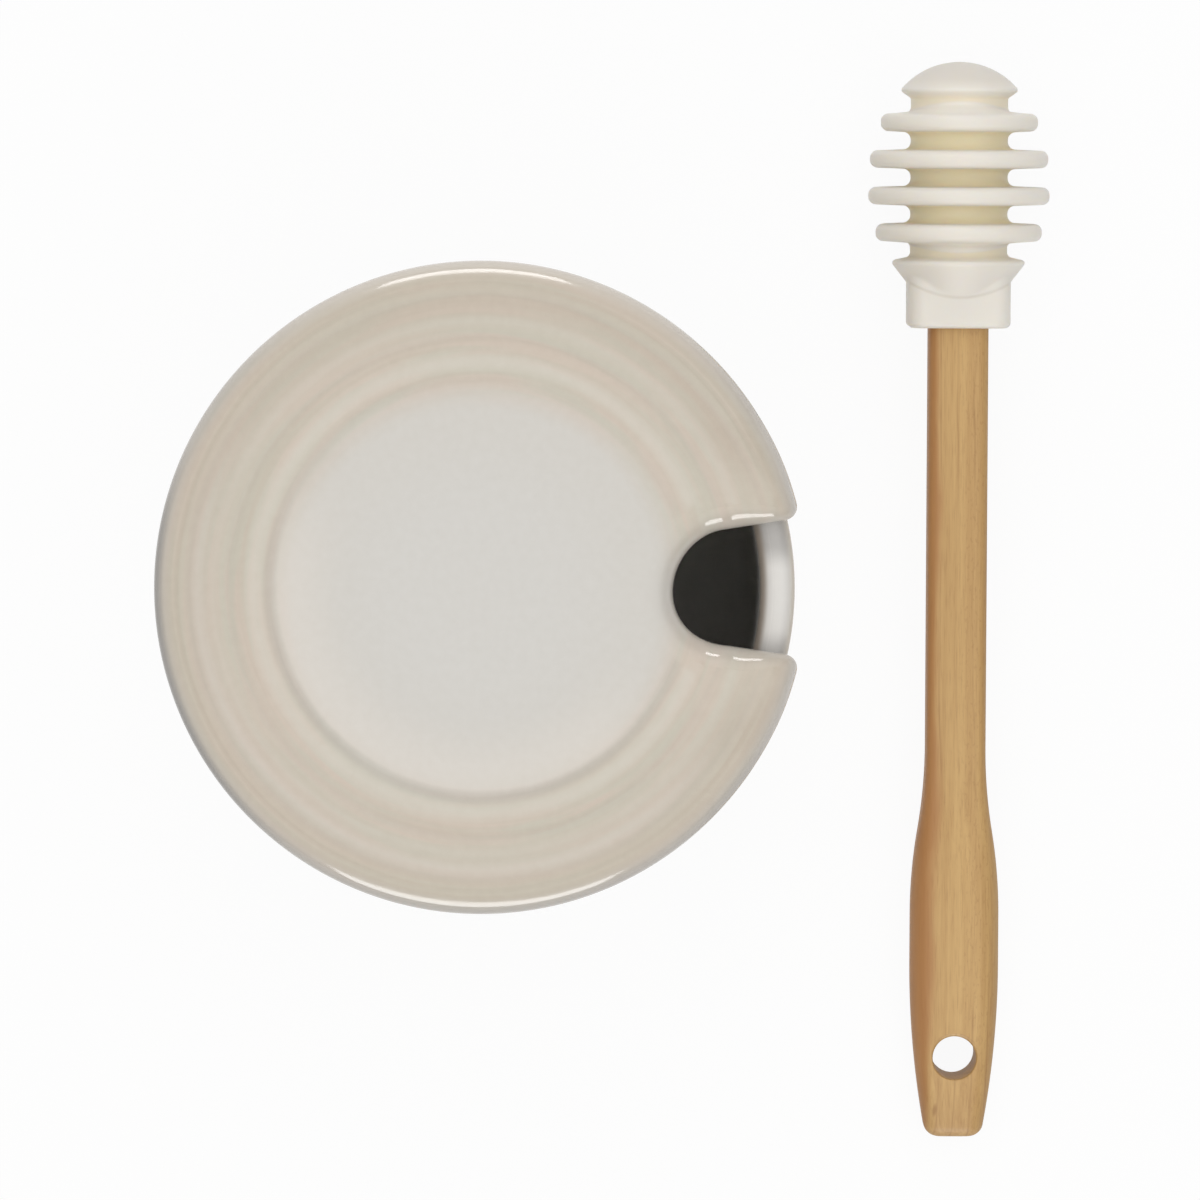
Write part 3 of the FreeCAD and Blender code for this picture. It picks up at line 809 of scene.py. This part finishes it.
def siliconeSkin():
    f = Finish(bpy.data.materials.new("siliconeSkin"))
    place = f.place()
    x, y, z = f.split(dipperPlace(f))
    across, depth, along = x * 1000, f.maths("ABSOLUTE", y) * 1000, z * 1000
    radius = (across * across + depth * depth) ** 0.5
    cloud = f.noise(place, 180.0, 2.0)
    fine = f.noise(place, 4200.0, 3.0)
    # the slots are painted a warmer, brighter cream, standing in for light bounced and glowing between the
    # discs, most of all in the three middle ones, and not on the flanks that climb
    middle = along.smooth(145.0, 146.0) * along.smooth(164.5, 163.5)
    climb = (1 - (across / head["core"]) ** 2) * depth.smooth(1, 3)
    ends = (along - climb * 1.3).smooth(165.5, 166.1) + (along + climb * 1.1).smooth(144.4, 143.9)
    deep = radius.smooth(11.5, 7.6) * along.smooth(141.0, 143.0) * along.smooth(168.6, 167.4)
    colour = f.blend(deep * (ends * 0.5 + middle * 0.85), silicone["skin"], silicone["slot"])
    # painted light on the flanks of the end discs that climb the core, where light from the ends reaches them
    flank = along.smooth(164.9, 165.6) + along.smooth(145.0, 144.3) * along.smooth(142.4, 143.2)
    colour = f.blend(flank * climb * (1 - ends) * 0.7, colour, silicone["flank"])
    # painted shade over the dome at the tip
    colour = f.blend(along.smooth(168.9, 171.0) * 0.4, colour, silicone["tip"])
    # fine crease where the cone runs into the flat of the ferrule, bumped in and darkened with painted shade
    crease = (along - across * across * silicone["creaseSag"]).bump(silicone["creaseHeight"], 0.45)
    crease = crease * depth.smooth(4.5, 5.5)
    colour = f.blend(crease * 0.3, colour, silicone["crease"])
    colour = f.speckle(0.05, colour, cloud)
    # mould line along both sides
    line = depth.smooth(0.16, 0.05)
    bump = f.bumpFrom(fine * 0.5 + cloud * 1.5 + line * 0.8 - crease * 1.5, 0.00003)
    roughness = silicone["roughness"] + cloud * 0.08
    return f.finishWith(
        Base_Color=colour, Roughness=roughness, Normal=bump, IOR=1.41,
        Subsurface_Weight=silicone["glow"], Subsurface_Radius=silicone["glowRadius"],
        Subsurface_Scale=silicone["glowDepth"],
    )


wood = {
    "light": tone(205, 167, 108), "middle": tone(191, 151, 94), "dark": tone(146, 100, 52),
    "red": tone(166, 110, 60), "lineGap": 1.35, "fleck": (-3.1, 4.8), "fleckHalf": (0.55, 1.5),
    "fleckLean": 0.12, "roughness": 0.5,
}


def handleWood():
    f = Finish(bpy.data.materials.new("handleWood"))
    x, y, z = f.split(dipperPlace(f))
    across, depth, along = x * 1000, y * 1000, z * 1000
    # fibres run along the handle, and wander a little from side to side
    sway = f.noise(f.join(x * 0.3, y * 0.3, z * 0.5), 50.0, 2.0)
    fibre = f.noise(f.join(x, y, z * 0.02), 720.0, 4.0, 0.6)
    fine = f.noise(f.join(x, y, z * 0.05), 4200.0, 2.0)
    ticks = f.noise(f.join(x, y, z * 0.4), 2600.0, 2.0)
    patch = f.noise(f.join(x * 0.6, y * 0.6, z * 0.16), 190.0, 2.0)
    colour = f.blend(fibre.smooth(0.32, 0.68), wood["middle"], wood["light"])
    # thin growth lines that come and go
    wander = across + depth * 0.3 + (sway - 0.5) * 3 + (patch - 0.5) * 1.5
    lines = (f.maths("PINGPONG", wander, wood["lineGap"]) / wood["lineGap"]).smooth(0.8, 1.0)
    colour = f.blend(lines * patch.smooth(0.42, 0.62) * 0.36, colour, wood["dark"])
    colour = f.blend(fine.smooth(0.45, 0.75) * 0.26, colour, wood["dark"])
    # redder heartwood down the left side, small rays on the right; the right edge is darkened with painted
    # shade where the section turns away from the light, and the wood darkens towards the end
    share = across / (handle["neck"][0] + along.smooth(62, 38) * 2.3)
    heart = (share + (sway - 0.5) * 0.9 + (patch - 0.5) * 0.8).smooth(-0.48, -0.8)
    colour = f.blend(heart * 0.75, colour, wood["red"])
    colour = f.blend(ticks.smooth(0.56, 0.68) * share.smooth(-0.2, 0.5) * 0.2, colour, wood["dark"])
    colour = f.blend(share.smooth(0.45, 1.0) * 0.22 + along.smooth(14, 0) * 0.2, colour, wood["dark"])
    # one dark fleck near the end
    (fleckX, fleckZ), (halfX, halfZ) = wood["fleck"], wood["fleckHalf"]
    beside = across - fleckX - (along - fleckZ) * wood["fleckLean"]
    away = ((beside / halfX) ** 2 + ((along - fleckZ) / halfZ) ** 2) ** 0.5
    colour = f.blend(away.smooth(1.0, 0.2) * depth.smooth(0, -2) * 0.6, colour, wood["dark"])
    bump = f.bumpFrom(fibre + fine * 0.5, 0.00005)
    return f.finishWith(Base_Color=colour, Roughness=wood["roughness"] + fibre * 0.12, Normal=bump)


# pieces on their bodies

pieces = [
    (makePot, "pot", "pot_body", "pot_glaze", potGlaze),
    (makeLid, "lid", "lid", "lid_glaze", lidGlaze),
    (makeHead, "dipper_head", "dipper_head", "silicone", siliconeSkin),
    (makeHandle, "dipper_handle", "dipper_handle", "wood", handleWood),
]
for make, body, node, slot, finish in pieces:
    piece = make()
    piece.data.materials.clear()
    piece.data.materials.append(finish())
    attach(piece, body)
    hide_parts(node)
    print("made", piece.name, len(piece.data.polygons), "faces")


# stage, light and camera

stage = {
    "floor": 6.0, "paper": 0.8, "white": 0.93, "horizon": 0.6, "low": 0.36, "sides": 0.5, "top": 1.1,
    "aim": (0, 0, 0.09), "distance": 1.1, "camera": (0.01787, -0.0019, 1.145), "lens": 211.2, "sensor": 36.0,
}

# strips give the sheen on the glaze, fills the light
lamps = {
    "topStrip": {"side": 1, "tilt": 61, "turn": -2, "size": (0.58, 0.26), "glow": 9.0, "sheen": True},
    "lowStrip": {"side": -1, "tilt": 67, "turn": -2, "size": (0.96, 0.5), "glow": 7.5, "sheen": True},
    "topFill": {"side": 1, "tilt": 62, "turn": 0, "size": (0.8, 0.5), "glow": 1.5, "sheen": False},
    "lowFill": {"side": -1, "tilt": 60, "turn": 0, "size": (0.9, 0.5), "glow": 1.3, "sheen": False},
}


def makeFloor():
    clearSelection()
    bpy.ops.mesh.primitive_grid_add(x_subdivisions=8, y_subdivisions=8, size=2 * stage["floor"])
    floor = bpy.context.object
    floor.name = "floor"
    f = Finish(bpy.data.materials.new("floorPaper"))
    ways = ("Is Camera Ray", "Is Glossy Ray", "Is Transmission Ray")
    seen, mirrored, through = [f.node("LightPath", output=way) for way in ways]
    shown = f.maths("MAXIMUM", f.maths("MAXIMUM", seen, mirrored), through)
    f.finishWith(Base_Color=(stage["paper"],) * 3 + (1,), Roughness=0.9)
    paper = f.tree.nodes["Principled BSDF"]
    white = f.node("Emission", None, {"Color": (1, 1, 1, 1), "Strength": 1.0})
    mixed = f.node("MixShader", None, {0: shown * stage["white"], 1: Value(f, paper.outputs[0]), 2: white})
    f.tree.links.new(mixed.socket, f.tree.nodes["Material Output"].inputs["Surface"])
    floor.data.materials.append(f.owner)


def makeWorld():
    # soft light from overhead, over a dim room with a pale horizon, dimmest to the left and right
    scene.world = bpy.data.worlds.new("softRoom")
    f = Finish(scene.world)
    x, y, z = f.split(f.place("Generated"))
    sides = (x * x).smooth(0.1, 0.7) * stage["sides"]
    room = stage["low"] + z.smooth(0.16, 0.02) * (stage["horizon"] - stage["low"])
    level = room * (1 - sides) + z.smooth(0.4, 1.0) * stage["top"]
    f.feed(f.tree.nodes["Background"].inputs["Strength"], level)
    f.feed(f.tree.nodes["Background"].inputs["Color"], (1, 1, 1, 1))


def makeLamp(name):
    strip = lamps[name]
    data = bpy.data.lights.new(name, "AREA")
    data.shape = "RECTANGLE"
    data.size, data.size_y = strip["size"]
    data.energy = strip["glow"] * math.pi * data.size * data.size_y
    lamp = bpy.data.objects.new(name, data)
    scene.collection.objects.link(lamp)
    tilt, turn = math.radians(strip["tilt"]), math.radians(strip["turn"])
    side = strip["side"]
    way = Vector((math.sin(turn) * math.sin(tilt), side * math.cos(turn) * math.sin(tilt), math.cos(tilt)))
    lamp.location = Vector(stage["aim"]) + way * stage["distance"]
    lamp.rotation_euler = way.to_track_quat("Z", "Y").to_euler()
    lamp.visible_camera = False
    lamp.visible_diffuse = not strip["sheen"]
    lamp.visible_glossy = strip["sheen"]


def makeCamera():
    # straight down from a little right of the lid's middle, so the dipper is in the same picture
    data = bpy.data.cameras.new("camera")
    data.sensor_width = stage["sensor"]
    data.lens = stage["lens"]
    camera = bpy.data.objects.new("camera", data)
    camera.location = stage["camera"]
    scene.collection.objects.link(camera)
    scene.camera = camera


makeFloor()
makeWorld()
for name in lamps:
    makeLamp(name)
makeCamera()
print("stage, light and camera set")
